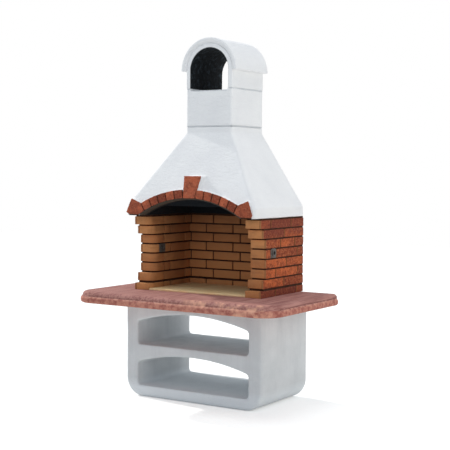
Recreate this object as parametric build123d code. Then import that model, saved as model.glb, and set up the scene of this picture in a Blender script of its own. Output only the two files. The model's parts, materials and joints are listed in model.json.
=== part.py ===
from build123d import *
import math
import os

# Outdoor masonry barbecue, in millimetres.
# X runs from left to right, Y from front to back and Z up.
# The origin is on the ground, under the middle of the counter slab.

# Joints and fits
joint = 10
pointing_recess = 9
curved_clearance = 0.4
overrun = 20

# Counter slab with its stepped nosing
counter_width = 1584
counter_depth = 910
counter_lower_thickness = 46
counter_upper_thickness = 31
counter_step = 15
counter_front_corner_radius = 160
counter_back_corner_radius = 34
nosing_radius = 18
step_edge_radius = 24

# Base casting with two arched niches
base_width = 1092
base_depth = 615
base_corner_radius = 130
base_edge_radius = 22
pillar_front_width = 100
pillar_back_width = 115
niche_side_height = 159
niche_rise = 67
niche_corner_radius = 24
niche_edge_radius = 6
floor_thickness = 79
shelf_thickness = 57
top_rail_thickness = 67

# Firebox walls, laid in courses of brick
course_count = 8
upper_course_count = 7
brick_height = 55
first_brick_height = 45
first_joint = 15
wall_width = 1016
wall_depth = 500
brick_width = 107
jamb_brick_length = 110
left_jamb_corner_radius = 50
right_jamb_corner_radius = 6
corbel_step = 33
corbel_steps_from_end = 2
inner_brick_length = 245
inner_closer_length = 64
back_brick_width = 50
back_brick_length = 217
back_corner_brick_length = 238
back_half_start_length = 183
shortest_piece = 60

# Rough facing slips on the outer faces of the walls
slip_thickness = 14
slip_length = 272
slip_recess = 5
end_recess = 1
slip_start_shares = [0.33, 0.96, 0.27, 0.84, 0.29, 0.43, 0.95, 0.62]
slip_length_shares = [1.0, 1.0, 1.05, 1.0, 1.02, 0.66, 1.0, 0.95]
rear_start_shares = [0.5, 1.0]

# Hearth slab
hearth_thickness = 13
hearth_setback = 14
hearth_gap = 2
hearth_edge_radius = 4

# Spit sockets through both side walls
socket_course = 5
upper_courses_below_socket = 3
socket_from_jamb_back = 20
socket_block_length = 70
socket_rise = 5
sleeve_bore_radius = 14
sleeve_wall = 4
socket_plate_thickness = 3
inner_plate_length = 64
inner_plate_height = 52
inner_plate_corner_radius = 9
outer_plate_length = 68
outer_plate_height = 60
outer_plate_corner_radius = 22
collar_radius = 22
collar_length = 6

# Hood casting
hood_bed_thickness = 12
hood_side_overhang = 7
hood_front_overhang = 89
hood_back_inset = 5
hood_fascia_height = 68
hood_slope_height = 496
hood_neck_height = 40
hood_corner_radius = 26
hood_front_wall = 80

# Brick arch set in the hood
arch_radius = 760
arch_crown_height = 125
arch_stone_thickness = 56
arch_end_angle = 27.8
arch_joint = 8
arch_proud = 10
arch_stone_depth = 12
arch_surround_depth = 75
arch_rim = 12
arch_mortar_recess = 6
stones_each_side = 5
keystone_bottom_width = 91
keystone_top_width = 132
keystone_height = 146
keystone_lean = 45
keystone_proud = 2
keystone_shift = 8
keystone_thickness = 12
shoulder_bed = 8
shoulder_heel = 3
shoulder_top_offset = 56
shoulder_foot_width = 78
left_shoulder_width = 100
right_shoulder_width = 86
shoulder_top_height = 114
shoulder_tip_height = 21

# Flue stack, chimney head and barrel cap
stack_width = 368
stack_depth = 405
stack_wall = 40
stack_height = 247
stack_back_inset = 10
stack_corner_radius = 14
stack_joint = 6
stack_joint_recess = 4
head_leg_height = 118
head_wall = 31
cap_thickness = 37
cap_lip_thickness = 22
cap_lip_length = 10

# Levels and planes worked out from the sizes above
niche_front_width = base_width - 2 * pillar_front_width
niche_back_width = base_width - 2 * pillar_back_width
niche_height = niche_side_height + niche_rise
niche_pitch = niche_height + shelf_thickness
base_height = floor_thickness + niche_pitch + niche_height + top_rail_thickness
counter_top = base_height + counter_lower_thickness + counter_upper_thickness
course_pitch = brick_height + joint
second_course_level = counter_top + first_brick_height + first_joint
brick_top = second_course_level + upper_course_count * course_pitch - joint
wall_top = brick_top + hood_bed_thickness
back_plane = counter_depth / 2
front_plane = -counter_depth / 2
base_front = back_plane - base_depth
wall_half = wall_width / 2
brick_outer = wall_half - slip_thickness
wall_inner = brick_outer - brick_width
jamb_front = back_plane - wall_depth
jamb_back = jamb_front + jamb_brick_length
back_brick_outer = back_plane - slip_thickness
back_inner = back_brick_outer - back_brick_width
end_course_front = jamb_front - corbel_steps_from_end * corbel_step
socket_y = jamb_back - socket_from_jamb_back
socket_low = second_course_level + upper_courses_below_socket * course_pitch
socket_z = socket_low + brick_height / 2 + socket_rise
sleeve_outer_radius = sleeve_bore_radius + sleeve_wall
hood_front = end_course_front - hood_front_overhang
hood_back = back_plane - hood_back_inset
hood_half = wall_half + hood_side_overhang
hood_slope_top = wall_top + hood_fascia_height + hood_slope_height
hood_top = hood_slope_top + hood_neck_height
stack_back = back_plane - stack_back_inset
stack_front = stack_back - stack_depth
stack_bottom = hood_top + stack_joint
stack_top = stack_bottom + stack_height
head_bottom = stack_top + stack_joint
head_centre = head_bottom + head_leg_height
arch_centre = wall_top + arch_crown_height - arch_radius
arch_front = hood_front - arch_proud
arch_back = arch_front + arch_stone_depth
surround_back = arch_front + arch_surround_depth


def block(x0, x1, y0, y1, z0, z1):
    """A box between two corners, given in any order along X."""
    box = Box(abs(x1 - x0), y1 - y0, z1 - z0)
    return Pos((x0 + x1) / 2, (y0 + y1) / 2, (z0 + z1) / 2) * box


def along_y(face, y0, y1):
    """A face drawn as X across and Z up, made solid from y0 to y1."""
    plane = Plane(origin=(0, y1, 0), x_dir=(1, 0, 0), z_dir=(0, -1, 0))
    return extrude(plane * face, amount=y1 - y0)


def along_x(face, x0, x1):
    """A face drawn as Y across and Z up, made solid from x0 to x1."""
    plane = Plane(origin=(x0, 0, 0), x_dir=(0, 1, 0), z_dir=(1, 0, 0))
    return extrude(plane * face, amount=x1 - x0)


def tunnel_face(half_width, bottom, centre):
    """Two upright sides from the bottom to the centre, under a half round."""
    left = (-half_width, bottom)
    right = (half_width, bottom)
    spring = (half_width, centre)
    crown = (0, centre + half_width)
    other_spring = (-half_width, centre)
    lines = Line(left, right) + Line(right, spring)
    lines += ThreePointArc(spring, crown, other_spring) + Line(other_spring, left)
    return make_face(lines)


def rounded_plan(x_half, y0, y1, radius, z):
    """A rectangle with rounded corners, lying level at height z."""
    plan = RectangleRounded(2 * x_half, y1 - y0, radius)
    return Pos(0, (y0 + y1) / 2, z) * plan


def niche_face(bottom, width):
    """An opening with upright sides, a low arch and softened corners."""
    half = width / 2
    spring = bottom + niche_side_height
    lines = Line((-half, bottom), (half, bottom)) + Line((half, bottom), (half, spring))
    lines += ThreePointArc((half, spring), (0, spring + niche_rise), (-half, spring))
    lines += Line((-half, spring), (-half, bottom))
    face = make_face(lines)
    return fillet(face.vertices(), niche_corner_radius)


def niche_space(bottom):
    """The space of a niche, which narrows a little from front to back."""
    front = Plane(origin=(0, base_front - overrun, 0), x_dir=(1, 0, 0), z_dir=(0, -1, 0))
    back = Plane(origin=(0, back_plane + overrun, 0), x_dir=(1, 0, 0), z_dir=(0, -1, 0))
    faces = [front * niche_face(bottom, niche_front_width), back * niche_face(bottom, niche_back_width)]
    return loft(faces, ruled=True)


def base_casting():
    outline = Pos(0, base_height / 2) * Rectangle(base_width, base_height)
    outline = fillet(outline.vertices().group_by(Axis.Y)[0], base_corner_radius)
    body = along_y(outline, base_front, back_plane)
    for bottom in (floor_thickness, floor_thickness + niche_pitch):
        body -= niche_space(bottom)
    reach = base_width / 2 - base_corner_radius / 2
    for end in (0, -1):
        rim = body.edges().group_by(Axis.Y)[end]
        inner = [edge for edge in rim if edge.bounding_box().max.X < reach
                 and edge.bounding_box().min.X > -reach and edge.center().Z > floor_thickness / 2]
        body = fillet(inner, niche_edge_radius)
        rim = body.edges().group_by(Axis.Y)[end]
        upright = [edge for edge in rim if abs(edge.center().X) > reach]
        body = fillet(upright, base_edge_radius)
    return body


def counter_plan(inset):
    half = counter_width / 2 - inset
    plan = Rectangle(2 * half, counter_depth - inset)
    plan = Pos(0, inset / 2) * plan
    plan = fillet(plan.vertices().group_by(Axis.Y)[0], counter_front_corner_radius - inset)
    return fillet(plan.vertices().group_by(Axis.Y)[-1], counter_back_corner_radius - inset)


def counter_slab():
    lower = extrude(Pos(0, 0, base_height) * counter_plan(0), amount=counter_lower_thickness)
    lower = fillet(lower.edges().group_by(Axis.Z)[-1], nosing_radius)
    lower = fillet(lower.edges().group_by(Axis.Z)[0], nosing_radius)
    step_level = base_height + counter_lower_thickness
    upper = extrude(Pos(0, 0, step_level) * counter_plan(counter_step), amount=counter_upper_thickness)
    upper = fillet(upper.edges().group_by(Axis.Z)[-1], step_edge_radius)
    return lower + upper


def hearth_slab():
    """The slab on the counter, cut to fit round the rounded corner of the left jamb."""
    front = end_course_front + hearth_setback
    back = back_inner - hearth_gap
    top = counter_top + hearth_thickness
    side = wall_inner - hearth_gap
    ear_back = end_course_front + left_jamb_corner_radius
    slab = block(-side, side, front, back, counter_top, top)
    slab += block(-side - left_jamb_corner_radius, -side, front, ear_back, counter_top, top)
    front_edges = slab.edges().group_by(Axis.Y)[0]
    slab = fillet(front_edges.sort_by(Axis.Z)[-1], hearth_edge_radius)
    return slab - jamb_block(-1, 1, jamb_back, hearth_gap)


def course_level(course):
    if course == 1:
        return counter_top
    return brick_top - brick_height - (course_count - course) * course_pitch


def course_top(course):
    if course == 1:
        return counter_top + first_brick_height
    return course_level(course) + brick_height


def course_front(course):
    """The corbels come forward over the two lowest and the two highest courses."""
    from_end = min(course - 1, course_count - course)
    return jamb_front - corbel_step * max(0, corbel_steps_from_end - from_end)


def row(start, end, first, length):
    """Pieces along a row, as pairs of ends, with a joint between two pieces."""
    pieces = []
    low = start
    size = first
    while low < end - joint:
        high = min(low + size, end)
        if end - high < shortest_piece:
            high = end
        pieces.append((low, high))
        low = high + joint
        size = length
    return pieces


def round_front_corner(solid, side, margin):
    """Round the inner front corner of a wall, set in or out from the face of the bricks."""
    radius = (left_jamb_corner_radius if side < 0 else right_jamb_corner_radius) + margin
    if radius <= 0:
        return solid
    upright = solid.edges().filter_by(Axis.Z).group_by(Axis.Y)[0]
    corner = min(upright, key=lambda edge: side * edge.center().X)
    return fillet(corner, radius)


def jamb_block(side, course, back, margin):
    """The outline of a jamb brick, with a margin all round."""
    brick = block(side * (wall_inner - margin), side * (brick_outer + margin),
                  course_front(course) - margin, back + margin,
                  course_level(course), course_top(course))
    return round_front_corner(brick, side, margin)


def jamb_brick(side, course):
    back = jamb_back
    if course == socket_course:
        back = socket_y - socket_block_length / 2
    return jamb_block(side, course, back, 0)


def side_course(side, course):
    """One course of a side wall: the jamb brick and the firebricks behind it."""
    level = course_level(course)
    top = course_top(course)
    start = jamb_back + joint
    if course == socket_course:
        start = socket_y + socket_block_length / 2
    if course % 2 == 0:
        pieces = row(start, back_brick_outer, jamb_back + joint + inner_brick_length - start,
                     inner_brick_length)
    else:
        pieces = row(start, back_inner - joint, jamb_back + joint + inner_closer_length - start,
                     inner_brick_length)
    bricks = [jamb_brick(side, course)]
    for low, high in pieces:
        bricks.append(block(side * wall_inner, side * brick_outer, low, high, level, top))
    return bricks


def back_course(course):
    level = course_level(course)
    top = course_top(course)
    if course % 2 == 0:
        pieces = row(joint - wall_inner, wall_inner - joint, back_half_start_length, back_brick_length)
    else:
        pieces = row(-brick_outer, brick_outer, back_corner_brick_length, back_brick_length)
    return [block(low, high, back_inner, back_brick_outer, level, top) for low, high in pieces]


def side_slips(side):
    """Facing slips of a side wall, set out from the back edge to the front."""
    slips = []
    gap_low = socket_y - socket_block_length / 2
    gap_high = socket_y + socket_block_length / 2
    for course in range(1, course_count + 1):
        level = course_level(course)
        first = slip_start_shares[course - 1] * slip_length
        length = slip_length_shares[course - 1] * slip_length
        for low, high in row(-back_plane, -course_front(course), first, length):
            spans = [(-high, -low)]
            if course == socket_course:
                spans = [(-high, min(-low, gap_low)), (max(-high, gap_high), -low)]
            for near, far in spans:
                if far - near > joint:
                    slips.append(block(side * brick_outer, side * wall_half, near, far,
                                       level, course_top(course)))
    return slips


def rear_slips():
    slips = []
    for course in range(1, course_count + 1):
        level = course_level(course)
        first = rear_start_shares[course % 2] * slip_length
        for low, high in row(-brick_outer, brick_outer, first, slip_length):
            slips.append(block(low, high, back_brick_outer, back_plane, level, course_top(course)))
    return slips


def socket_block(side):
    """The cast block that stands in for a brick and carries the spit sleeve."""
    half = socket_block_length / 2
    cast = block(side * wall_inner, side * wall_half, socket_y - half, socket_y + half,
                 socket_low, socket_low + brick_height)
    return cast - bore(side, sleeve_outer_radius + curved_clearance)


def bore(side, radius):
    """A round hole through a side wall, on the axis of the spit."""
    length = wall_half - wall_inner + 2 * overrun
    centre = side * (wall_half + wall_inner) / 2
    return Pos(centre, socket_y, socket_z) * Rot(0, 90, 0) * Cylinder(radius, length)


def plate(side, inner, outer, length, height, radius):
    """A wall plate between two distances from the middle, with rounded corners."""
    outline = Pos(socket_y, socket_z) * RectangleRounded(length, height, radius)
    ends = sorted((side * inner, side * outer))
    return along_x(outline, ends[0], ends[1])


def spit_sleeve(side):
    """The sleeve, with the outer plate and the collar that are welded to it."""
    inner_end = wall_inner - socket_plate_thickness
    outer_end = wall_half + socket_plate_thickness
    length = outer_end - inner_end
    tube = Pos(side * (inner_end + outer_end) / 2, socket_y, socket_z) * Rot(0, 90, 0)
    tube = tube * Cylinder(sleeve_outer_radius, length)
    flange = plate(side, wall_half, outer_end, outer_plate_length, outer_plate_height,
                   outer_plate_corner_radius)
    collar = Pos(side * (outer_end + collar_length / 2), socket_y, socket_z) * Rot(0, 90, 0)
    collar = collar * Cylinder(collar_radius, collar_length)
    return tube + flange + collar - bore(side, sleeve_bore_radius)


def inner_plate(side):
    flat = plate(side, wall_inner - socket_plate_thickness, wall_inner, inner_plate_length,
                 inner_plate_height, inner_plate_corner_radius)
    return flat - bore(side, sleeve_outer_radius + curved_clearance)


def side_mortar(side, solids):
    """The mortar core, which comes forward in the joints between two corbelled courses."""
    inner = side * (wall_inner + pointing_recess)
    outer = side * (wall_half - slip_recess)
    core = block(inner, outer, jamb_front + pointing_recess, back_plane - end_recess,
                 counter_top, brick_top)
    core = round_front_corner(core, side, -pointing_recess)
    for course in range(1, course_count):
        front = max(course_front(course), course_front(course + 1))
        if front < jamb_front:
            bed = block(inner, outer, front + pointing_recess, jamb_back,
                        course_top(course), course_level(course + 1))
            core += round_front_corner(bed, side, -pointing_recess)
    return core - solids


def back_mortar(solids):
    inner = wall_inner + pointing_recess
    core = block(-inner, inner, back_inner + pointing_recess, back_plane - end_recess,
                 counter_top, brick_top)
    return core - solids


def hood_bed_mortar():
    outer = wall_half - slip_recess
    ring = block(-outer, outer, end_course_front + pointing_recess, back_plane - end_recess,
                 brick_top, wall_top)
    inner = wall_inner + pointing_recess
    ring -= block(-inner, inner, front_plane, back_inner + pointing_recess,
                  brick_top - overrun, wall_top + overrun)
    upright = ring.edges().filter_by(Axis.Z).group_by(Axis.Y)[0].sort_by(Axis.X)
    return fillet(upright[1], left_jamb_corner_radius - pointing_recess)


def polar(radius, angle):
    """A point on a circle round the arch centre, at an angle from upright."""
    turn = math.radians(angle)
    return (radius * math.sin(turn), arch_centre + radius * math.cos(turn))


def ring_face(inner, outer, start, end):
    middle = (start + end) / 2
    inner_arc = ThreePointArc(polar(inner, start), polar(inner, middle), polar(inner, end))
    outer_arc = ThreePointArc(polar(outer, end), polar(outer, middle), polar(outer, start))
    sides = Line(polar(inner, end), polar(outer, end)) + Line(polar(outer, start), polar(inner, start))
    return make_face(inner_arc + sides + outer_arc)


arch_outer_radius = arch_radius + arch_stone_thickness
arch_joint_angle = math.degrees(arch_joint / arch_outer_radius)
keystone_half_angle = math.degrees(math.asin(keystone_bottom_width / 2 / arch_radius))


def voussoir(side, number):
    """One arch brick, counted from the keystone outwards."""
    key_edge = keystone_half_angle + side * math.degrees(keystone_shift / arch_radius)
    pitch = (arch_end_angle - key_edge) / stones_each_side
    start = key_edge + (number - 1) * pitch + arch_joint_angle
    end = key_edge + number * pitch
    face = ring_face(arch_radius, arch_outer_radius, start, end)
    stone = along_y(face, arch_front, arch_back)
    if side < 0:
        stone = mirror(stone, about=Plane.YZ)
    return stone


def keystone_face():
    """The keystone as it is seen from the front, with its foot on the arch."""
    low = arch_centre + arch_radius * math.cos(math.radians(keystone_half_angle))
    high = low + keystone_height
    outline = Polyline((-keystone_bottom_width / 2, low), (keystone_bottom_width / 2, low),
                       (keystone_top_width / 2, high), (-keystone_top_width / 2, high), close=True)
    return make_face(outline)


def leaning_prism(front, back):
    """The keystone's face carried from front to back, leaning back with height."""
    low = arch_centre + arch_radius * math.cos(math.radians(keystone_half_angle))
    high = low + keystone_height
    leaning = make_face(Polyline((front, low), (back, low), (back + keystone_lean, high),
                                 (front + keystone_lean, high), close=True))
    straight = along_y(keystone_face(), front, back + keystone_lean)
    return straight & along_x(leaning, -keystone_top_width / 2, keystone_top_width / 2)


def keystone():
    front = arch_front - keystone_proud
    return Pos(keystone_shift, 0, 0) * leaning_prism(front, front + keystone_thickness)


def keystone_space():
    """The space of the keystone and all that lies in front of it."""
    front = arch_front - keystone_proud
    return Pos(keystone_shift, 0, 0) * leaning_prism(front - keystone_lean, front + keystone_thickness)


def keystone_boss():
    """The rendered block that stands out of the hood behind the keystone."""
    front = arch_front - keystone_proud + keystone_thickness
    return Pos(keystone_shift, 0, 0) * leaning_prism(front, surround_back + keystone_lean)


def shoulder_inner_reach():
    """How far out a shoulder stone begins: a little beyond the curve of the arch."""
    rise = wall_top + shoulder_bed - arch_centre
    return math.sqrt(arch_radius ** 2 - rise ** 2) + shoulder_heel


def shoulder_face(side, foot):
    """The outline of a shoulder stone on the right, standing on the level of its foot."""
    start = arch_end_angle + arch_joint_angle
    reach = shoulder_inner_reach()
    inner = (reach, foot)
    toe = (reach + shoulder_foot_width, foot)
    width = left_shoulder_width if side < 0 else right_shoulder_width
    tip = (reach + width, wall_top + shoulder_tip_height)
    top = (reach + shoulder_top_offset, wall_top + shoulder_top_height)
    outline = Polyline(polar(arch_radius, start), polar(arch_outer_radius, start), top, tip,
                       toe, inner, close=True)
    return make_face(outline)


def shoulder_stone(side):
    stone = along_y(shoulder_face(side, wall_top + shoulder_bed), arch_front, arch_back)
    if side < 0:
        stone = mirror(stone, about=Plane.YZ)
    return stone


def arch_surround():
    """The rendered block that stands out of the hood behind the arch stones."""
    end = arch_end_angle + arch_joint_angle
    block_behind = along_y(ring_face(arch_radius, arch_outer_radius, -end, end), arch_back, surround_back)
    for side in (-1, 1):
        shoulder = along_y(shoulder_face(side, wall_top), arch_back, surround_back)
        block_behind += mirror(shoulder, about=Plane.YZ) if side < 0 else shoulder
    return block_behind


def shoulder_bedding(side):
    low = side * shoulder_inner_reach()
    high = side * (shoulder_inner_reach() + shoulder_foot_width)
    return block(low, high, arch_front + arch_mortar_recess, arch_back, wall_top, wall_top + shoulder_bed)


def arch_mortar(stones):
    end = arch_end_angle + arch_joint_angle
    front = arch_front + arch_mortar_recess
    face = ring_face(arch_radius, arch_outer_radius, -end, end)
    key = Pos(keystone_shift, 0, 0) * along_y(keystone_face(), arch_front - overrun, arch_back + overrun)
    return along_y(face, front, arch_back) + shoulder_bedding(-1) + shoulder_bedding(1) - key - stones


def hood_casting(stones):
    fascia_top = wall_top + hood_fascia_height
    stack_half = stack_width / 2
    wide = rounded_plan(hood_half, hood_front, hood_back, hood_corner_radius, fascia_top)
    narrow = rounded_plan(stack_half, stack_front, stack_back, stack_corner_radius, hood_slope_top)
    fascia = extrude(rounded_plan(hood_half, hood_front, hood_back, hood_corner_radius, wall_top),
                     amount=hood_fascia_height)
    slope = loft([wide, narrow], ruled=True)
    neck = extrude(narrow, amount=hood_neck_height)
    body = fascia + slope + neck + arch_surround() + keystone_boss()
    flue_half = stack_half - stack_wall
    low_plan = Pos(0, (hood_front + hood_front_wall + back_inner) / 2, wall_top)
    low_plan = low_plan * Rectangle(2 * wall_inner, back_inner - hood_front - hood_front_wall)
    high_plan = Pos(0, (stack_front + stack_back) / 2, hood_top)
    high_plan = high_plan * Rectangle(2 * flue_half, stack_depth - 2 * stack_wall)
    body -= loft([low_plan, high_plan], ruled=True)
    opening_radius = arch_radius - arch_rim
    opening_back = hood_front + hood_front_wall + overrun
    opening = ring_face(opening_radius / 2, opening_radius, -2 * arch_end_angle, 2 * arch_end_angle)
    body -= along_y(opening, hood_front - overrun, opening_back)
    return body - keystone_space() - stones


def square_ring(inset, z0, z1, radius):
    """A hollow square of the stack's plan, between two levels."""
    half = stack_width / 2
    outer = rounded_plan(half - inset, stack_front + inset, stack_back - inset, radius, z0)
    inner = block(stack_wall - half, half - stack_wall, stack_front + stack_wall, stack_back - stack_wall,
                  z0 - overrun, z1 + overrun)
    return extrude(outer, amount=z1 - z0) - inner


def flue_stack():
    return square_ring(0, stack_bottom, stack_top, stack_corner_radius)


def stack_bed(z0):
    return square_ring(stack_joint_recess, z0, z0 + stack_joint,
                       stack_corner_radius - stack_joint_recess)


def chimney_head():
    half = stack_width / 2
    shell = tunnel_face(half, head_bottom, head_centre)
    passage = tunnel_face(half - head_wall, head_bottom - overrun, head_centre)
    body = along_y(shell, stack_front, stack_back)
    return body - along_y(passage, stack_front - overrun, stack_back + overrun)


def barrel_cap():
    """A half round roof over the head, with a lip along its front edge."""
    inner = stack_width / 2 + curved_clearance
    outer = inner + cap_thickness
    lip_inner = outer - cap_lip_thickness

    def half_ring(small, large, y0, y1):
        face = Circle(large) - Circle(small)
        face &= Pos(0, large / 2) * Rectangle(2 * large, large)
        return along_y(Pos(0, head_centre) * face, y0, y1)

    roof = half_ring(inner, outer, stack_front, stack_back)
    return roof + half_ring(lip_inner, outer, stack_front - cap_lip_length, stack_front)


def write(name, shapes):
    if not isinstance(shapes, list):
        shapes = [shapes]
    solids = [solid for shape in shapes for solid in shape.solids()]
    node = solids[0] if len(solids) == 1 else Compound(children=solids)
    export_step(node, "parts/" + name + ".step")


def main():
    os.makedirs("parts", exist_ok=True)
    write("base_casting", base_casting())
    write("counter_slab", counter_slab())
    write("hearth_slab", hearth_slab())
    sides = {"left": -1, "right": 1}
    courses = range(1, course_count + 1)
    rear = rear_slips()
    write("rear_facing_slips", rear)
    back_solids = list(rear)
    for course in courses:
        bricks = back_course(course)
        write("back_wall_course_" + str(course), bricks)
        back_solids += bricks
    corner_solids = []
    for name, side in sides.items():
        slips = side_slips(side)
        cast = socket_block(side)
        write(name + "_facing_slips", slips)
        side_solids = slips + [cast, bore(side, sleeve_outer_radius + curved_clearance)]
        for course in courses:
            bricks = side_course(side, course)
            write(name + "_wall_course_" + str(course), bricks)
            side_solids += bricks
            corner_solids.append(bricks[-1])
        write(name + "_wall_mortar", side_mortar(side, side_solids + back_solids))
        write(name + "_spit_block", cast)
        write(name + "_spit_sleeve", spit_sleeve(side))
        write(name + "_spit_inner_plate", inner_plate(side))
    write("back_wall_mortar", back_mortar(back_solids + corner_solids))
    write("hood_bed_mortar", hood_bed_mortar())
    key = keystone()
    stones = [key]
    write("keystone", key)
    for name, side in sides.items():
        shoulder = shoulder_stone(side)
        write(name + "_shoulder_stone", shoulder)
        stones.append(shoulder)
        for number in range(1, stones_each_side + 1):
            stone = voussoir(side, number)
            write(name + "_arch_stone_" + str(number), stone)
            stones.append(stone)
    pointing = arch_mortar(stones)
    write("arch_mortar", pointing)
    write("hood_casting", hood_casting(stones + [pointing]))
    write("stack_bed_mortar", stack_bed(hood_top))
    write("flue_stack", flue_stack())
    write("head_bed_mortar", stack_bed(stack_top))
    write("chimney_head", chimney_head())
    write("barrel_cap", barrel_cap())


main()
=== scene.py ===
import json
import math
import random

import bmesh
import bpy
import numpy as np
from mathutils import Matrix, Vector


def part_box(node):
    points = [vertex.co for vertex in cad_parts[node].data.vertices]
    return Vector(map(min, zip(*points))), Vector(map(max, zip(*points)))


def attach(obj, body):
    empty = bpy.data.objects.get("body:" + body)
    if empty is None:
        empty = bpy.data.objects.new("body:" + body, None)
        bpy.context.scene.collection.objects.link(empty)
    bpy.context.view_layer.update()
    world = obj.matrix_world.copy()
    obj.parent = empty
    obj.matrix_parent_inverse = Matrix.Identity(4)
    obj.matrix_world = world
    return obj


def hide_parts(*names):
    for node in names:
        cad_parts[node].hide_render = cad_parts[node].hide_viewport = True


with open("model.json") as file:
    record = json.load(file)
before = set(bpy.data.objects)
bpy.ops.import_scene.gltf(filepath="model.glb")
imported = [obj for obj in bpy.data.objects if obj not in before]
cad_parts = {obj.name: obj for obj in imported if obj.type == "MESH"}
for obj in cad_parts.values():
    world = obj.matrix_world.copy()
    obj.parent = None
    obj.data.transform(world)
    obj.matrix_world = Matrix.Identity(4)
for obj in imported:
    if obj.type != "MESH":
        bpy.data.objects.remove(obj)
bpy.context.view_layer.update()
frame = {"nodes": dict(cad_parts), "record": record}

nodes = frame["nodes"]

# Camera at the photograph's place: metres, degrees and pixels, the sensor in millimetres
CAMERA_PLACE = (4.075, -6.1115, 1.555)
CAMERA_YAW = 32.64
CAMERA_PITCH = 2.85
CAMERA_ROLL = 0.33
FOCAL_PIXELS = 1088.67
PHOTO_PIXELS = 450
SENSOR_WIDTH = 36.0

# Daylight, two soft panels and the floor: metres, degrees and watts
SUN_FROM = (-0.82, 0.12, 0.56)
SUN_DISTANCE = 5
SUN_STRENGTH = 2.0
SUN_ANGLE = 2.0
SUN_COLOUR = (1.0, 0.97, 0.93)
SKY_STRENGTH = 0.57
SKY_COLOUR = (0.90, 0.99, 1.09)
RIGHT_PANEL_PLACE = (4.2, 0.6, 1.8)
RIGHT_PANEL_SIZE = 3.4
RIGHT_PANEL_POWER = 37
RIGHT_PANEL_COLOUR = (1.0, 0.91, 0.80)
TOP_PANEL_PLACE = (0.9, -1.6, 7.0)
TOP_PANEL_SIZE = 3.0
TOP_PANEL_POWER = 100
TOP_PANEL_COLOUR = (1.0, 0.98, 0.96)
PANEL_TARGET = (0, 0.1, 1.2)
FLOOR_SIZE = 30.0
FLOOR_COLOUR = (0.88, 0.88, 0.86)
FLOOR_GLOW = 0.36

# Surface work: sizes and depths in metres, with shares and counts of steps
MERGE_DISTANCE = 0.00005
FLAT_ANGLE = math.radians(1.0)
BRICK_SEED = 11
ARRIS_ROUNDING = 0.003
ARRIS_STEPS = 3
BRICK_GRAIN = 0.003
REAR_BRICK_GRAIN = 0.0036
BASE_GRAIN = 0.0078
HOOD_GRAIN = 0.0070
STACK_GRAIN = 0.0050
HEAD_GRAIN = 0.0045
JOINT_GRAIN = 0.002
COUNTER_GRAIN = 0.006
HEARTH_GRAIN = 0.004
PATTERN_DETAIL = 3
DENT_SIZE = 0.025
SLIP_DENT_DEPTH = 0.003
ARCH_DENT_DEPTH = 0.004
CHIP_SIZE_SHARE = 0.25
CHIP_DEPTH_SHARE = 0.5
SOFTEN_SHARE = 0.5
CAST_WAVE_SIZE = 0.22
CAST_WAVE_DEPTH = 0.003
CAST_PIT_SIZE = 0.03
CAST_PIT_DEPTH = 0.001
HEARTH_PIT_SIZE = 0.02
HEARTH_PIT_DEPTH = 0.0012
COUNTER_WAVE_SIZE = 0.10
COUNTER_WAVE_DEPTH = 0.001
EDGE_CHIP_SIZE = 0.012
EDGE_CHIP_DEPTH = 0.0018
LEAST_WEIGHT = 0.02

# Y of the way a face is turned, where a brick's smooth end begins and where it is full
SMOOTH_END_FROM = -1.5 / 3
SMOOTH_END_FULL = -2.5 / 3

# Hood, stack and chimney head, in metres, with the spread of a bed joint as a factor
HOOD_HALF = 0.515
HOOD_FRONT = -0.200
HOOD_BACK = 0.450
FASCIA_TOP = 1.317
SLOPE_TOP = 1.813
STACK_HALF = 0.184
STACK_FRONT = 0.040
STACK_BACK = 0.445
STACK_TOP = 2.106
JOINT_SPREAD = 1.017
SILL_HALF = 0.150
SILL_SIDE_FADE = 0.003
SILL_DROP = 0.014
SILL_FADE = 0.028
HEAD_CENTRE = 2.230
LEAST_REACH = 0.001
SOOT_RIM = 0.012
SOOT_FADE = 0.022
HEAD_PATCH_FROM = 2.0
HEAD_PATCH_FULL = 2.1

# How far a face is turned to the head's passage, where soot begins and where it is full
HEAD_SOOT_FROM = 0.8 / 3
HEAD_SOOT_FULL = 1.8 / 3

# Smoked underside of the arch, in metres
ARCH_CENTRE = 0.614
ARCH_RADIUS = 0.748
RIM_BAND = 0.016
RIM_BACK = -0.110
RIM_FADE_FROM = -0.135
RIM_FADE_FULL = -0.155
JAMB_INNER = 0.405

# Counter's stepped edge, with its painted shade in the groove, painted highlight on the lip and
# painted patch of sunlight along the front, in metres, with plain strengths
STEP_WIDTH = 0.015
EDGE_WIDTH = 0.020
EDGE_FADE = 0.012
GROOVE_LEVEL = 0.703
GROOVE_SIZE = 0.004
GROOVE_STRENGTH = 1.6
LIP_LEVEL = 0.698
LIP_WIDTH = 0.007
LIP_SIZE = 0.006
LIP_STRENGTH = 1.5
SIDE_FROM = 0.702
SIDE_FULL = 0.698
SUNLIT_FRONT = 0.075
SUNLIT_FRONT_FADE = 0.03
SUNLIT_LEFT = 0.05
SUNLIT_LEFT_FADE = 0.2

# Levels and depths where the finishes change, in metres
# Painted light: the base is made paler from the first level down to the second, for the
# brighter light on its foot
PAINTED_LIGHT_TOP = 0.13
PAINTED_LIGHT_FULL = 0.06
# Hearth darker towards the back: partly smoke, partly painted shade
HEARTH_SMOKE_SHADE_FRONT = 0.05
HEARTH_SMOKE_SHADE_BACK = 0.40
BACK_WALL_FROM = 0.30
BACK_WALL_FULL = 0.38
# Back wall bricks lighter low down: partly cleaner, partly painted light
CLEAN_LIT_TOP = 1.24
CLEAN_LIT_FULL = 0.85
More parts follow.
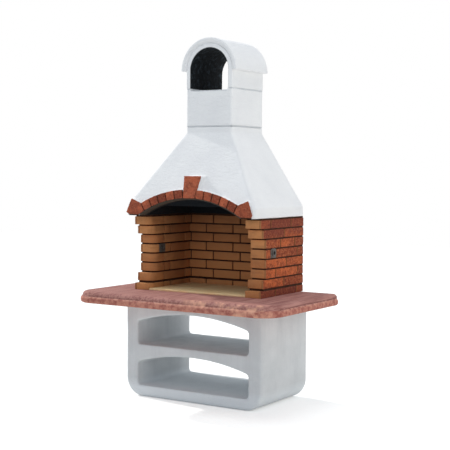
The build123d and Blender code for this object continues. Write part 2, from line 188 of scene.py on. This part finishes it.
# Firebox bricks darker towards the back and the hood: partly smoke, partly painted shade
FIREBOX_SMOKE_SHADE_FRONT = -0.02
FIREBOX_SMOKE_SHADE_BACK = 0.26
FIREBOX_SMOKE_SHADE_FROM = 0.95
FIREBOX_SMOKE_SHADE_TOP = 1.26
DARK_ROWS_FROM = 1.09
DARK_ROWS_FULL = 1.15
LOW_ROW_TOP = 0.80
LOW_ROW_FULL = 0.775

# Colours, as red, green and blue from 0 to 255
CAST_GREY = (212, 215, 216)
CAST_PALE = (224, 226, 227)
CAST_STREAK = (198, 200, 203)
CAST_PAINTED_LIGHT = (244, 249, 252)
CAST_PIT_SHADE = (132, 134, 138)
CAST_GRAIN = (150, 154, 158)
RENDER_DULL = (237, 237, 238)
RENDER_WHITE = (243, 243, 243)
RENDER_GRAIN = (176, 178, 182)
SOOT_BLACK = (16, 21, 26)
SOOT_PATCH = (66, 76, 84)
SMOKE_DARK = (58, 50, 42)
SMOKE_PALE = (84, 76, 66)
TERRACOTTA_DULL = (166, 115, 106)
TERRACOTTA_PALE = (180, 129, 120)
TERRACOTTA_LINE = (134, 82, 78)
TERRACOTTA_GRAIN = (206, 166, 152)
TERRACOTTA_PIT_SHADE = (96, 56, 48)
NOSING_DARK = (154, 90, 80)
NOSING_PALE = (194, 132, 114)
GROOVE_SHADE = (92, 46, 42)
SUNLIT_PATCH_COLOUR = (224, 168, 142)
LIP_HIGHLIGHT = (214, 166, 146)
HEARTH_DULL = (252, 210, 154)
HEARTH_PALE = (254, 224, 172)
HEARTH_GREY = (166, 130, 98)
HEARTH_SMOKE_SHADE = (150, 108, 76)
FIRED_DULL = (181, 112, 66)
FIRED_PALE = (207, 143, 90)
FIRED_CLOUD = (174, 122, 80)
FIRED_STREAK = (142, 88, 54)
FIRED_GRAIN = (206, 158, 116)
FIRED_CLEAN_AND_LIT = (246, 172, 112)
FIRED_DEEP_SMOKE_SHADE = (140, 88, 54)
FIRED_SMOKE_SHADE = (56, 36, 26)
RUSTIC_RED = (132, 62, 40)
RUSTIC_ORANGE = (204, 104, 58)
RUSTIC_CLOUD = (126, 62, 44)
RUSTIC_SAND = (200, 122, 80)
RUSTIC_PIT = (70, 36, 28)
RUSTIC_PURPLE = (104, 48, 42)
RUSTIC_END = (172, 118, 78)
ARCH_RED = (122, 52, 35)
ARCH_ORANGE = (192, 102, 71)
ARCH_CLOUD = (116, 60, 46)
ARCH_SAND = (186, 116, 84)
ARCH_PIT = (64, 34, 28)
DARK_MORTAR = ((50, 28, 17), (84, 50, 32), (38, 22, 15))
LIGHT_MORTAR = ((214, 217, 220), (232, 234, 236), (206, 209, 212))
GREY_CONCRETE = ((96, 92, 86), (126, 121, 114), (84, 78, 72))
STEEL_DARK = (84, 80, 76)
STEEL_PALE = (118, 114, 110)
STEEL_RUST = (96, 66, 48)

# Shine of dry masonry, and the sockets of a colour mix
DRY_SHINE = 0.25
MIX_SHARE, MIX_FIRST, MIX_SECOND, MIX_RESULT = 0, 6, 7, 2


def add_camera():
    data = bpy.data.cameras.new("photo_camera")
    data.sensor_width = SENSOR_WIDTH
    data.lens = FOCAL_PIXELS / PHOTO_PIXELS * SENSOR_WIDTH
    camera = bpy.data.objects.new("photo_camera", data)
    bpy.context.scene.collection.objects.link(camera)
    turn = Matrix.Rotation(math.radians(CAMERA_YAW), 4, "Z")
    tilt = Matrix.Rotation(math.radians(90 - CAMERA_PITCH), 4, "X")
    roll = Matrix.Rotation(math.radians(CAMERA_ROLL), 4, "Z")
    camera.matrix_world = Matrix.Translation(CAMERA_PLACE) @ turn @ tilt @ roll
    bpy.context.scene.camera = camera


def linear_light(colour):
    """A colour as it is read from a screen, turned into linear light."""
    def linear(value):
        share = value / 255
        return share / 12.92 if share <= 0.04045 else ((share + 0.055) / 1.055) ** 2.4
    return (*[linear(value) for value in colour], 1.0)


class Finish:
    """A material whose colour and relief are built up step by step."""

    def __init__(self, name, roughness=0.9):
        self.material = bpy.data.materials.new(name)
        self.material.use_nodes = True
        self.tree = self.material.node_tree
        self.shader = self.tree.nodes["Principled BSDF"]
        self.shader.inputs["Roughness"].default_value = roughness
        self.shader.inputs["Specular IOR Level"].default_value = DRY_SHINE
        self.place = self.add("ShaderNodeTexCoord").outputs["Object"]
        self.relief = None

    def add(self, kind, **settings):
        node = self.tree.nodes.new(kind)
        for key, value in settings.items():
            setattr(node, key, value)
        return node

    def give(self, socket, value):
        """Feed a socket from another socket, from a colour or from a number."""
        if isinstance(value, bpy.types.NodeSocket):
            self.tree.links.new(value, socket)
        elif isinstance(value, tuple):
            socket.default_value = linear_light(value)
        else:
            socket.default_value = value

    def noise(self, scale, detail=4, rough=0.55, warp=0.0, stretch=None):
        node = self.add("ShaderNodeTexNoise")
        node.inputs["Scale"].default_value = scale
        node.inputs["Detail"].default_value = detail
        node.inputs["Roughness"].default_value = rough
        node.inputs["Distortion"].default_value = warp
        place = self.place
        if stretch:
            mapping = self.add("ShaderNodeMapping")
            mapping.inputs["Scale"].default_value = stretch
            self.give(mapping.inputs["Vector"], place)
            place = mapping.outputs["Vector"]
        self.give(node.inputs["Vector"], place)
        return node.outputs["Fac"]

    def pores(self, scale, wide, full):
        """Small round spots, full in their middle and gone at their wide edge."""
        node = self.add("ShaderNodeTexVoronoi", feature="F1")
        node.inputs["Scale"].default_value = scale
        self.give(node.inputs["Vector"], self.place)
        return self.band(node.outputs["Distance"], wide, full)

    def band(self, value, start, end, share=1.0):
        """Nothing at the start of a range, and the whole share from its end on."""
        node = self.add("ShaderNodeMapRange")
        node.inputs["From Min"].default_value = start
        node.inputs["From Max"].default_value = end
        node.inputs["To Min"].default_value = 0.0
        node.inputs["To Max"].default_value = share
        self.give(node.inputs["Value"], value)
        return node.outputs["Result"]

    def math(self, operation, first, second, clamp=False):
        node = self.add("ShaderNodeMath", operation=operation, use_clamp=clamp)
        self.give(node.inputs[0], first)
        self.give(node.inputs[1], second)
        return node.outputs["Value"]

    def times(self, first, second):
        return self.math("MULTIPLY", first, second)

    def plus(self, first, second):
        return self.math("ADD", first, second, clamp=True)

    def mix(self, share, first, second):
        node = self.add("ShaderNodeMix", data_type="RGBA")
        self.give(node.inputs[MIX_SHARE], share)
        self.give(node.inputs[MIX_FIRST], first)
        self.give(node.inputs[MIX_SECOND], second)
        return node.outputs[MIX_RESULT]

    def tint(self, base, colour, value, start, end, share=1.0):
        """Lay a colour over the base where a value goes from start to end."""
        return self.mix(self.band(value, start, end, share), base, colour)

    def axis(self, letter):
        node = self.add("ShaderNodeSeparateXYZ")
        self.give(node.inputs["Vector"], self.place)
        return node.outputs[letter]

    def attribute(self, name):
        return self.add("ShaderNodeAttribute", attribute_name=name).outputs["Fac"]

    def colour(self, value):
        self.give(self.shader.inputs["Base Color"], value)

    def bump(self, height, depth):
        node = self.add("ShaderNodeBump")
        node.inputs["Strength"].default_value = 1.0
        node.inputs["Distance"].default_value = depth
        self.give(node.inputs["Height"], height)
        if self.relief:
            self.give(node.inputs["Normal"], self.relief)
        self.relief = node.outputs["Normal"]
        self.give(self.shader.inputs["Normal"], self.relief)


def white_concrete():
    finish = Finish("white_concrete")
    cloud = finish.noise(scale=5, detail=5)
    streak = finish.noise(scale=14, stretch=(1, 1, 0.12))
    grain = finish.noise(scale=420, detail=2)
    few = finish.band(finish.noise(scale=9, detail=2), 0.52, 0.60)
    hole = finish.times(finish.pores(scale=95, wide=0.16, full=0.10), few)
    base = finish.tint(CAST_GREY, CAST_PALE, cloud, 0.35, 0.65)
    base = finish.tint(base, CAST_STREAK, streak, 0.45, 0.75, share=0.5)
    # Painted light: paler towards the floor, standing in for the brighter light on the foot of
    # the base
    base = finish.tint(base, CAST_PAINTED_LIGHT, finish.axis("Z"), PAINTED_LIGHT_TOP, PAINTED_LIGHT_FULL, share=0.75)
    # Painted shade: the pinholes are darkened
    base = finish.mix(finish.times(hole, 0.45), base, CAST_PIT_SHADE)
    base = finish.tint(base, CAST_GRAIN, grain, 0.3, 0.7, share=0.12)
    finish.colour(base)
    finish.bump(grain, depth=0.0008)
    finish.bump(finish.times(hole, -1.0), depth=0.002)
    return finish.material


def white_render():
    finish = Finish("white_render")
    cloud = finish.noise(scale=4, detail=5)
    grain = finish.noise(scale=330, detail=3, rough=0.6)
    trowel = finish.noise(scale=62, rough=0.6, warp=0.8, stretch=(0.5, 0.5, 1))
    base = finish.tint(RENDER_DULL, RENDER_WHITE, cloud, 0.35, 0.65)
    base = finish.tint(base, RENDER_GRAIN, grain, 0.35, 0.75, share=0.14)
    patch = finish.band(finish.noise(scale=30, detail=6, rough=0.7), 0.50, 0.68)
    high = finish.band(finish.axis("Z"), HEAD_PATCH_FROM, HEAD_PATCH_FULL)
    soot = finish.mix(finish.times(patch, high), SOOT_BLACK, SOOT_PATCH)
    smoked = finish.tint(SMOKE_DARK, SMOKE_PALE, grain, 0.3, 0.7)
    soot = finish.mix(finish.attribute("rim"), soot, smoked)
    finish.colour(finish.mix(finish.attribute("soot"), base, soot))
    finish.bump(grain, depth=0.0012)
    finish.bump(trowel, depth=0.0050)
    return finish.material


def terracotta_concrete():
    finish = Finish("terracotta_concrete", roughness=0.85)
    cloud = finish.noise(scale=7, detail=5)
    line = finish.noise(scale=75, detail=3, stretch=(1, 0.04, 1))
    grain = finish.noise(scale=300, detail=3)
    few = finish.band(finish.noise(scale=25, detail=3), 0.50, 0.60)
    hole = finish.times(finish.pores(scale=120, wide=0.2, full=0.12), few)
    base = finish.tint(TERRACOTTA_DULL, TERRACOTTA_PALE, cloud, 0.35, 0.65)
    base = finish.tint(base, TERRACOTTA_LINE, line, 0.44, 0.60, share=0.85)
    base = finish.tint(base, TERRACOTTA_GRAIN, grain, 0.4, 0.8, share=0.3)
    # Painted shade: the pinholes are darkened
    base = finish.mix(finish.times(hole, 0.6), base, TERRACOTTA_PIT_SHADE)
    mottle = finish.noise(scale=34, detail=5, rough=0.65)
    nosing = finish.tint(NOSING_DARK, NOSING_PALE, mottle, 0.40, 0.60)
    base = finish.mix(finish.attribute("side"), base, nosing)
    # Painted shade: a dark line, broken into patches, along the groove of the counter's stepped
    # edge
    groove_shade_patches = finish.band(finish.noise(scale=60), 0.34, 0.50, share=0.7)
    # Painted light: a pale patch of sunlight along the front of the counter, towards its right
    sunlit_patch_noise = finish.band(finish.noise(scale=16, detail=5, rough=0.6), 0.46, 0.62, share=0.8)
    # Painted highlight: pale patches along the lip of the counter's stepped edge
    lip_highlight_patches = finish.band(finish.noise(scale=45), 0.42, 0.62, share=0.5)
    base = finish.mix(finish.times(finish.attribute("groove"), groove_shade_patches), base, GROOVE_SHADE)
    base = finish.mix(finish.times(finish.attribute("rubbed"), sunlit_patch_noise), base, SUNLIT_PATCH_COLOUR)
    base = finish.mix(finish.times(finish.attribute("worn"), lip_highlight_patches), base, LIP_HIGHLIGHT)
    finish.colour(base)
    finish.bump(grain, depth=0.0012)
    finish.bump(line, depth=0.0008)
    return finish.material


def refractory_slab():
    finish = Finish("refractory_slab")
    cloud = finish.noise(scale=9, detail=5)
    grain = finish.noise(scale=260, detail=3)
    base = finish.tint(HEARTH_DULL, HEARTH_PALE, cloud, 0.35, 0.65)
    base = finish.tint(base, HEARTH_GREY, grain, 0.35, 0.75, share=0.3)
    # Darker towards the back under the hood: partly smoke, partly painted shade
    smoke_and_shade = finish.band(finish.axis("Y"), HEARTH_SMOKE_SHADE_FRONT, HEARTH_SMOKE_SHADE_BACK, share=0.22)
    base = finish.mix(smoke_and_shade, base, HEARTH_SMOKE_SHADE)
    finish.colour(base)
    finish.bump(grain, depth=0.0010)
    return finish.material


def firebrick():
    """Smooth tan brick, darker at the back and towards the hood, partly smoke and partly
    painted shade, and lighter low on the back wall, partly cleaner and partly painted light.
    """
    finish = Finish("firebrick")
    cloud = finish.noise(scale=16, detail=5)
    streak = finish.noise(scale=30, stretch=(0.25, 0.25, 1))
    grain = finish.noise(scale=300, detail=3, rough=0.6)
    base = finish.mix(finish.attribute("tone"), FIRED_DULL, FIRED_PALE)
    base = finish.tint(base, FIRED_CLOUD, cloud, 0.40, 0.66, share=0.5)
    base = finish.tint(base, FIRED_STREAK, streak, 0.46, 0.72, share=0.4)
    base = finish.tint(base, FIRED_GRAIN, grain, 0.42, 0.80, share=0.35)
    # Lighter low on the back wall: partly less smoke, partly painted light
    low = finish.band(finish.axis("Z"), CLEAN_LIT_TOP, CLEAN_LIT_FULL)
    back = finish.band(finish.axis("Y"), BACK_WALL_FROM, BACK_WALL_FULL)
    base = finish.mix(finish.times(low, back), base, FIRED_CLEAN_AND_LIT)
    # Darker towards the back and up under the hood: partly smoke, partly painted shade
    deep = finish.band(finish.axis("Y"), FIREBOX_SMOKE_SHADE_FRONT, FIREBOX_SMOKE_SHADE_BACK, share=0.45)
    high = finish.band(finish.axis("Z"), FIREBOX_SMOKE_SHADE_FROM, FIREBOX_SMOKE_SHADE_TOP, share=0.30)
    base = finish.mix(deep, base, FIRED_DEEP_SMOKE_SHADE)
    base = finish.mix(finish.times(high, finish.band(deep, 0.0, 0.3)), base, FIRED_SMOKE_SHADE)
    finish.colour(base)
    finish.bump(grain, depth=0.0010)
    finish.bump(cloud, depth=0.0020)
    return finish.material


def rustic_brick():
    """Rough red brick, darker in its top rows and its lowest one."""
    finish = Finish("rustic_brick", roughness=0.95)
    cloud = finish.noise(scale=22, detail=6, rough=0.62)
    fleck = finish.noise(scale=85, detail=5, rough=0.65)
    grain = finish.noise(scale=240, rough=0.65)
    base = finish.mix(finish.attribute("tone"), RUSTIC_RED, RUSTIC_ORANGE)
    base = finish.tint(base, RUSTIC_CLOUD, cloud, 0.42, 0.62, share=0.7)
    base = finish.tint(base, RUSTIC_SAND, fleck, 0.52, 0.66, share=0.8)
    base = finish.tint(base, RUSTIC_PIT, fleck, 0.46, 0.36, share=0.8)
    high = finish.band(finish.axis("Z"), DARK_ROWS_FROM, DARK_ROWS_FULL, share=0.5)
    low = finish.band(finish.axis("Z"), LOW_ROW_TOP, LOW_ROW_FULL, share=0.45)
    base = finish.mix(finish.plus(high, low), base, RUSTIC_PURPLE)
    finish.colour(finish.mix(finish.attribute("smooth_end"), base, RUSTIC_END))
    finish.bump(grain, depth=0.0025)
    finish.bump(fleck, depth=0.0040)
    return finish.material


def arch_brick():
    finish = Finish("arch_brick", roughness=0.95)
    cloud = finish.noise(scale=26, detail=6, rough=0.62)
    fleck = finish.noise(scale=90, detail=5, rough=0.65)
    grain = finish.noise(scale=260, rough=0.65)
    base = finish.mix(finish.attribute("tone"), ARCH_RED, ARCH_ORANGE)
    base = finish.tint(base, ARCH_CLOUD, cloud, 0.42, 0.60, share=0.6)
    base = finish.tint(base, ARCH_SAND, fleck, 0.54, 0.68, share=0.8)
    base = finish.tint(base, ARCH_PIT, fleck, 0.42, 0.32, share=0.8)
    finish.colour(base)
    finish.bump(grain, depth=0.0025)
    finish.bump(fleck, depth=0.0040)
    return finish.material


def mortar(name, colours):
    dark, light, smoked = colours
    finish = Finish(name, roughness=0.95)
    grain = finish.noise(scale=220, rough=0.65)
    base = finish.tint(dark, light, grain, 0.35, 0.70)
    finish.colour(finish.tint(base, smoked, finish.noise(scale=20), 0.40, 0.65, share=0.5))
    finish.bump(grain, depth=0.0030)
    return finish.material


def steel():
    finish = Finish("steel", roughness=0.6)
    finish.shader.inputs["Metallic"].default_value = 0.35
    grain = finish.noise(scale=160, rough=0.6)
    base = finish.tint(STEEL_DARK, STEEL_PALE, grain, 0.35, 0.70)
    rust = finish.noise(scale=40, detail=5, rough=0.6)
    finish.colour(finish.tint(base, STEEL_RUST, rust, 0.52, 0.64, share=0.5))
    finish.bump(grain, depth=0.0006)
    return finish.material


finishes = {
    "white_concrete": white_concrete(),
    "terracotta_concrete": terracotta_concrete(),
    "refractory_slab": refractory_slab(),
    "firebrick": firebrick(),
    "rustic_brick": rustic_brick(),
    "arch_brick": arch_brick(),
    "dark_mortar": mortar("dark_mortar", DARK_MORTAR),
    "light_mortar": mortar("light_mortar", LIGHT_MORTAR),
    "white_render": white_render(),
    "grey_concrete": mortar("grey_concrete", GREY_CONCRETE),
    "steel": steel(),
}


def alone(piece):
    """Select one object and nothing else."""
    bpy.ops.object.select_all(action="DESELECT")
    piece.select_set(True)
    bpy.context.view_layer.objects.active = piece


def copy_of(node, ending):
    """A copy of a node's mesh, with its loose triangles joined into flat faces."""
    piece = bpy.data.objects.new(node + ending, nodes[node].data.copy())
    bpy.context.scene.collection.objects.link(piece)
    alone(piece)
    bpy.ops.object.mode_set(mode="EDIT")
    bpy.ops.mesh.select_all(action="SELECT")
    bpy.ops.mesh.remove_doubles(threshold=MERGE_DISTANCE)
    bpy.ops.mesh.dissolve_limited(angle_limit=FLAT_ANGLE)
    bpy.ops.object.mode_set(mode="OBJECT")
    return piece


def work(piece, kind, **settings):
    """Run one modifier on a piece and keep its result."""
    modifier = piece.modifiers.new(kind.lower(), kind)
    for key, value in settings.items():
        setattr(modifier, key, value)
    alone(piece)
    bpy.ops.object.modifier_apply(modifier=modifier.name)


def round_edges(piece, width):
    work(piece, "BEVEL", width=width, segments=ARRIS_STEPS, limit_method="ANGLE",
         use_clamp_overlap=True)


def remesh(piece, grain):
    work(piece, "REMESH", mode="VOXEL", voxel_size=grain)


def roughen(piece, size, depth, group=""):
    """Push the surface in and out by a cloudy pattern of the given size."""
    pattern = bpy.data.textures.new("clouds", "CLOUDS")
    pattern.noise_scale = size
    pattern.noise_depth = PATTERN_DETAIL
    work(piece, "DISPLACE", texture=pattern, texture_coords="LOCAL", strength=depth,
         mid_level=0.5, vertex_group=group)


def positions(piece):
    """The place of each vertex, as rows of X, Y and Z."""
    places = np.empty(len(piece.data.vertices) * 3, dtype=np.float32)
    piece.data.vertices.foreach_get("co", places)
    return places.reshape(-1, 3)


def facing(piece):
    """The way each vertex faces, as rows of X, Y and Z."""
    ways = np.empty(len(piece.data.vertices) * 3, dtype=np.float32)
    piece.data.vertex_normals.foreach_get("vector", ways)
    return ways.reshape(-1, 3)


def ramp(values, start, end):
    """Zero at the start of a range, one from its end on."""
    return np.clip((values - start) / (end - start), 0, 1)


def near(values, middle, size, strength):
    """One around a middle value, and zero away from it."""
    return np.clip(strength - np.abs(values - middle) / size, 0, 1)


def set_attribute(piece, name, values):
    attribute = piece.data.attributes.new(name, "FLOAT", "POINT")
    attribute.data.foreach_set("value", np.asarray(values, dtype=np.float32))


def set_group(piece, name, weights, least):
    group = piece.vertex_groups.new(name=name)
    for index in np.nonzero(weights > least)[0]:
        group.add([int(index)], float(weights[index]), "REPLACE")


def loose_boxes(piece):
    """The lowest and highest corners of each separate solid in a mesh."""
    shape = bmesh.new()
    shape.from_mesh(piece.data)
    left = set(shape.verts)
    boxes = []
    while left:
        waiting = [left.pop()]
        found = list(waiting)
        while waiting:
            for edge in waiting.pop().link_edges:
                for corner in edge.verts:
                    if corner in left:
                        left.remove(corner)
                        waiting.append(corner)
                        found.append(corner)
        places = np.array([corner.co[:] for corner in found])
        boxes.append((places.min(axis=0), places.max(axis=0)))
    shape.free()
    return sorted(boxes, key=lambda box: tuple(np.round(box[0], 4)))


def tones(piece, boxes, draw):
    """Give each brick of a piece a tone of its own, and keep it on the vertices."""
    places = positions(piece)
    levels = [draw.random() for _ in boxes]
    distance = np.stack([np.maximum(np.maximum(low - places, places - high), 0).max(axis=1)
                         for low, high in boxes])
    set_attribute(piece, "tone", np.array(levels)[distance.argmin(axis=0)])


def finish_piece(piece, node, slot):
    alone(piece)
    bpy.ops.object.shade_smooth()
    piece.data.materials.clear()
    piece.data.materials.append(finishes[slot])
    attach(piece, "root")
    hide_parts(node)


def smooth_bricks(node, slot, draw):
    """Fired bricks with flat faces and narrow rounded arrises."""
    piece = copy_of(node, "_fired")
    boxes = loose_boxes(piece)
    round_edges(piece, ARRIS_ROUNDING)
    tones(piece, boxes, draw)
    finish_piece(piece, node, slot)


def rough_bricks(node, slot, grain, depth, draw):
    """Hand-made bricks with dented faces and chipped arrises."""
    piece = copy_of(node, "_fired")
    boxes = loose_boxes(piece)
    remesh(piece, grain)
    roughen(piece, DENT_SIZE, depth)
    roughen(piece, DENT_SIZE * CHIP_SIZE_SHARE, depth * CHIP_DEPTH_SHARE)
    tones(piece, boxes, draw)
    forward = facing(piece)[:, 1]
    set_attribute(piece, "smooth_end", ramp(forward, SMOOTH_END_FROM, SMOOTH_END_FULL))
    finish_piece(piece, node, slot)


def sink_sill(piece):
    """Lower the walls of the stack between the legs of the head."""
    x, y, z = positions(piece).T
    across = ramp(np.abs(x), SILL_HALF, SILL_HALF - SILL_SIDE_FADE)
    set_group(piece, "sill", across * ramp(z, STACK_TOP - SILL_FADE, STACK_TOP), 0)
    work(piece, "DISPLACE", direction="Z", strength=-SILL_DROP, mid_level=0,
         vertex_group="sill")


def casting(node, slot, grain, soot=None, sill=False):
    """A cast or rendered piece with a slightly wavy, pitted face."""
    piece = copy_of(node, "_cast")
    remesh(piece, grain)
    work(piece, "SMOOTH", factor=SOFTEN_SHARE, iterations=1)
    roughen(piece, CAST_WAVE_SIZE, CAST_WAVE_DEPTH)
    roughen(piece, CAST_PIT_SIZE, CAST_PIT_DEPTH)
    if sill:
        sink_sill(piece)
    if soot:
        black, rim = soot(positions(piece), facing(piece))
        set_attribute(piece, "soot", black)
        set_attribute(piece, "rim", rim)
    finish_piece(piece, node, slot)


def bore_soot(places, ways):
    """Black inside the walls of the hood and the stack."""
    x, y, z = places.T
    rise = ramp(z, FASCIA_TOP, SLOPE_TOP)
    half = HOOD_HALF + rise * (STACK_HALF - HOOD_HALF)
    front = HOOD_FRONT + rise * (STACK_FRONT - HOOD_FRONT)
    back = HOOD_BACK + rise * (STACK_BACK - HOOD_BACK)
    depth = np.minimum(np.minimum(half - np.abs(x), y - front), back - y)
    return ramp(depth, SOOT_RIM, SOOT_RIM + SOOT_FADE), np.zeros(len(x))


def hood_soot(places, ways):
    """Black inside, and smoked along the underside of the arch opening."""
    x, y, z = places.T
    inside, rim = bore_soot(places, ways)
    reach = np.hypot(x, z - ARCH_CENTRE)
    under = (np.abs(reach - ARCH_RADIUS) < RIM_BAND) & (np.abs(x) < JAMB_INNER) & (y < RIM_BACK)
    edge = ramp(y, RIM_FADE_FROM, RIM_FADE_FULL)
    return np.where(under, 1, inside), np.where(under, edge, rim)


def head_soot(places, ways):
    """Black on the faces turned to the middle of the passage."""
    x, y, z = places.T
    rise = np.maximum(z - HEAD_CENTRE, 0)
    inward = -(ways[:, 0] * x + ways[:, 2] * rise) / np.maximum(np.hypot(x, rise), LEAST_REACH)
    return ramp(inward, HEAD_SOOT_FROM, HEAD_SOOT_FULL), np.zeros(len(x))


def no_soot(places, ways):
    return np.zeros(len(places)), np.zeros(len(places))


def flush_joint(node, sill=False):
    """A bed joint struck almost flush with the render above and below it."""
    piece = copy_of(node, "_struck")
    low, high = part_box(node)
    middle = (Vector(low) + Vector(high)) / 2
    bpy.ops.object.mode_set(mode="EDIT")
    bpy.ops.mesh.select_all(action="SELECT")
    bpy.ops.transform.resize(value=(JOINT_SPREAD, JOINT_SPREAD, 1), center_override=middle)
    bpy.ops.object.mode_set(mode="OBJECT")
    if sill:
        remesh(piece, JOINT_GRAIN)
        sink_sill(piece)
    finish_piece(piece, node, "light_mortar")


def counter():
    """The slab, chipped along its stepped edge, with painted shade in its groove, a painted
    highlight on its lip and a painted patch of sunlight along its front.
    """
    piece = copy_of("counter_slab", "_cast")
    remesh(piece, COUNTER_GRAIN)
    x, y, z = positions(piece).T
    low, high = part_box("counter_slab")
    inside = np.minimum(np.minimum(x - low[0], high[0] - x), y - low[1])
    set_group(piece, "edge", ramp(inside, EDGE_WIDTH + EDGE_FADE, EDGE_WIDTH), LEAST_WEIGHT)
    roughen(piece, EDGE_CHIP_SIZE, EDGE_CHIP_DEPTH, "edge")
    roughen(piece, COUNTER_WAVE_SIZE, COUNTER_WAVE_DEPTH)
    # Painted shade: where the groove of the stepped edge is darkened
    set_attribute(piece, "groove", near(z, GROOVE_LEVEL, GROOVE_SIZE, GROOVE_STRENGTH)
                  * near(inside, STEP_WIDTH, GROOVE_SIZE, GROOVE_STRENGTH))
    # Painted highlight: where the lip of the stepped edge is paler
    set_attribute(piece, "worn", near(z, LIP_LEVEL, LIP_SIZE, LIP_STRENGTH)
                  * near(inside, LIP_WIDTH, LIP_SIZE, LIP_STRENGTH))
    # Painted light: the front band, towards the right, where the patch of sunlight is painted
    sunlit_back = low[1] + SUNLIT_FRONT
    set_attribute(piece, "rubbed", ramp(y, sunlit_back, sunlit_back - SUNLIT_FRONT_FADE)
                  * ramp(x, SUNLIT_LEFT, SUNLIT_LEFT + SUNLIT_LEFT_FADE))
    set_attribute(piece, "side", ramp(z, SIDE_FROM, SIDE_FULL))
    finish_piece(piece, "counter_slab", "terracotta_concrete")


def hearth():
    piece = copy_of("hearth_slab", "_fired")
    remesh(piece, HEARTH_GRAIN)
    roughen(piece, HEARTH_PIT_SIZE, HEARTH_PIT_DEPTH)
    finish_piece(piece, "hearth_slab", "refractory_slab")


def floor():
    bpy.ops.object.select_all(action="DESELECT")
    bpy.ops.mesh.primitive_plane_add(size=FLOOR_SIZE, location=(0, 0, 0))
    ground = bpy.context.object
    ground.name = "studio_floor"
    material = bpy.data.materials.new("studio_floor")
    material.use_nodes = True
    tree = material.node_tree
    shader = tree.nodes["Principled BSDF"]
    shader.inputs["Base Color"].default_value = (*FLOOR_COLOUR, 1)
    shader.inputs["Roughness"].default_value = 1.0
    shader.inputs["Specular IOR Level"].default_value = 0.0
    glow = tree.nodes.new("ShaderNodeEmission")
    rays = tree.nodes.new("ShaderNodeLightPath")
    seen = tree.nodes.new("ShaderNodeMath")
    seen.operation = "MULTIPLY"
    seen.inputs[1].default_value = FLOOR_GLOW
    both = tree.nodes.new("ShaderNodeAddShader")
    tree.links.new(rays.outputs["Is Camera Ray"], seen.inputs[0])
    tree.links.new(seen.outputs["Value"], glow.inputs["Strength"])
    tree.links.new(shader.outputs["BSDF"], both.inputs[0])
    tree.links.new(glow.outputs["Emission"], both.inputs[1])
    tree.links.new(both.outputs["Shader"], tree.nodes["Material Output"].inputs["Surface"])
    ground.data.materials.append(material)


def sky():
    """Sky light on the barbecue, and plain white where the sky itself is seen."""
    world = bpy.data.worlds.new("studio")
    bpy.context.scene.world = world
    world.use_nodes = True
    tree = world.node_tree
    light = tree.nodes["Background"]
    light.inputs["Color"].default_value = (*SKY_COLOUR, 1)
    light.inputs["Strength"].default_value = SKY_STRENGTH
    white = tree.nodes.new("ShaderNodeBackground")
    white.inputs["Color"].default_value = (1, 1, 1, 1)
    white.inputs["Strength"].default_value = 1.0
    rays = tree.nodes.new("ShaderNodeLightPath")
    seen = rays.outputs["Is Camera Ray"]
    for kind in ("Is Glossy Ray", "Is Transmission Ray"):
        either = tree.nodes.new("ShaderNodeMath")
        either.operation = "MAXIMUM"
        tree.links.new(seen, either.inputs[0])
        tree.links.new(rays.outputs[kind], either.inputs[1])
        seen = either.outputs["Value"]
    both = tree.nodes.new("ShaderNodeMixShader")
    tree.links.new(seen, both.inputs["Fac"])
    tree.links.new(light.outputs["Background"], both.inputs[1])
    tree.links.new(white.outputs["Background"], both.inputs[2])
    tree.links.new(both.outputs["Shader"], tree.nodes["World Output"].inputs["Surface"])


def add_lamp(data, place, target):
    lamp = bpy.data.objects.new(data.name, data)
    bpy.context.scene.collection.objects.link(lamp)
    lamp.location = place
    lamp.rotation_euler = (Vector(place) - Vector(target)).to_track_quat("Z", "Y").to_euler()


def soft_panel(name, place, size, power, colour):
    data = bpy.data.lights.new(name, "AREA")
    data.shape = "SQUARE"
    data.size = size
    data.energy = power
    data.color = colour
    add_lamp(data, place, PANEL_TARGET)


def lamps():
    data = bpy.data.lights.new("sun", "SUN")
    data.energy = SUN_STRENGTH
    data.angle = math.radians(SUN_ANGLE)
    data.color = SUN_COLOUR
    add_lamp(data, Vector(SUN_FROM) * SUN_DISTANCE, (0, 0, 0))
    soft_panel("right_panel", RIGHT_PANEL_PLACE, RIGHT_PANEL_SIZE, RIGHT_PANEL_POWER,
               RIGHT_PANEL_COLOUR)
    soft_panel("top_panel", TOP_PANEL_PLACE, TOP_PANEL_SIZE, TOP_PANEL_POWER, TOP_PANEL_COLOUR)


add_camera()
floor()
sky()
lamps()

for part in frame["record"]["subparts"]:
    node = nodes[part["node"]]
    node.data.materials.clear()
    node.data.materials.append(finishes[part["material_slot"]])

draw = random.Random(BRICK_SEED)
for part in frame["record"]["subparts"]:
    node = part["node"]
    slot = part["material_slot"]
    if slot == "firebrick":
        smooth_bricks(node, slot, draw)
    elif slot == "rustic_brick":
        grain = REAR_BRICK_GRAIN if node.startswith("rear") else BRICK_GRAIN
        rough_bricks(node, slot, grain, SLIP_DENT_DEPTH, draw)
    elif slot == "arch_brick":
        rough_bricks(node, slot, BRICK_GRAIN, ARCH_DENT_DEPTH, draw)
casting("base_casting", "white_concrete", BASE_GRAIN)
casting("hood_casting", "white_render", HOOD_GRAIN, hood_soot)
casting("flue_stack", "white_render", STACK_GRAIN, bore_soot, sill=True)
flush_joint("stack_bed_mortar")
flush_joint("head_bed_mortar", sill=True)
casting("chimney_head", "white_render", HEAD_GRAIN, head_soot)
casting("barrel_cap", "white_render", HEAD_GRAIN, no_soot)
counter()
hearth()

bpy.context.scene.view_settings.view_transform = "Standard"
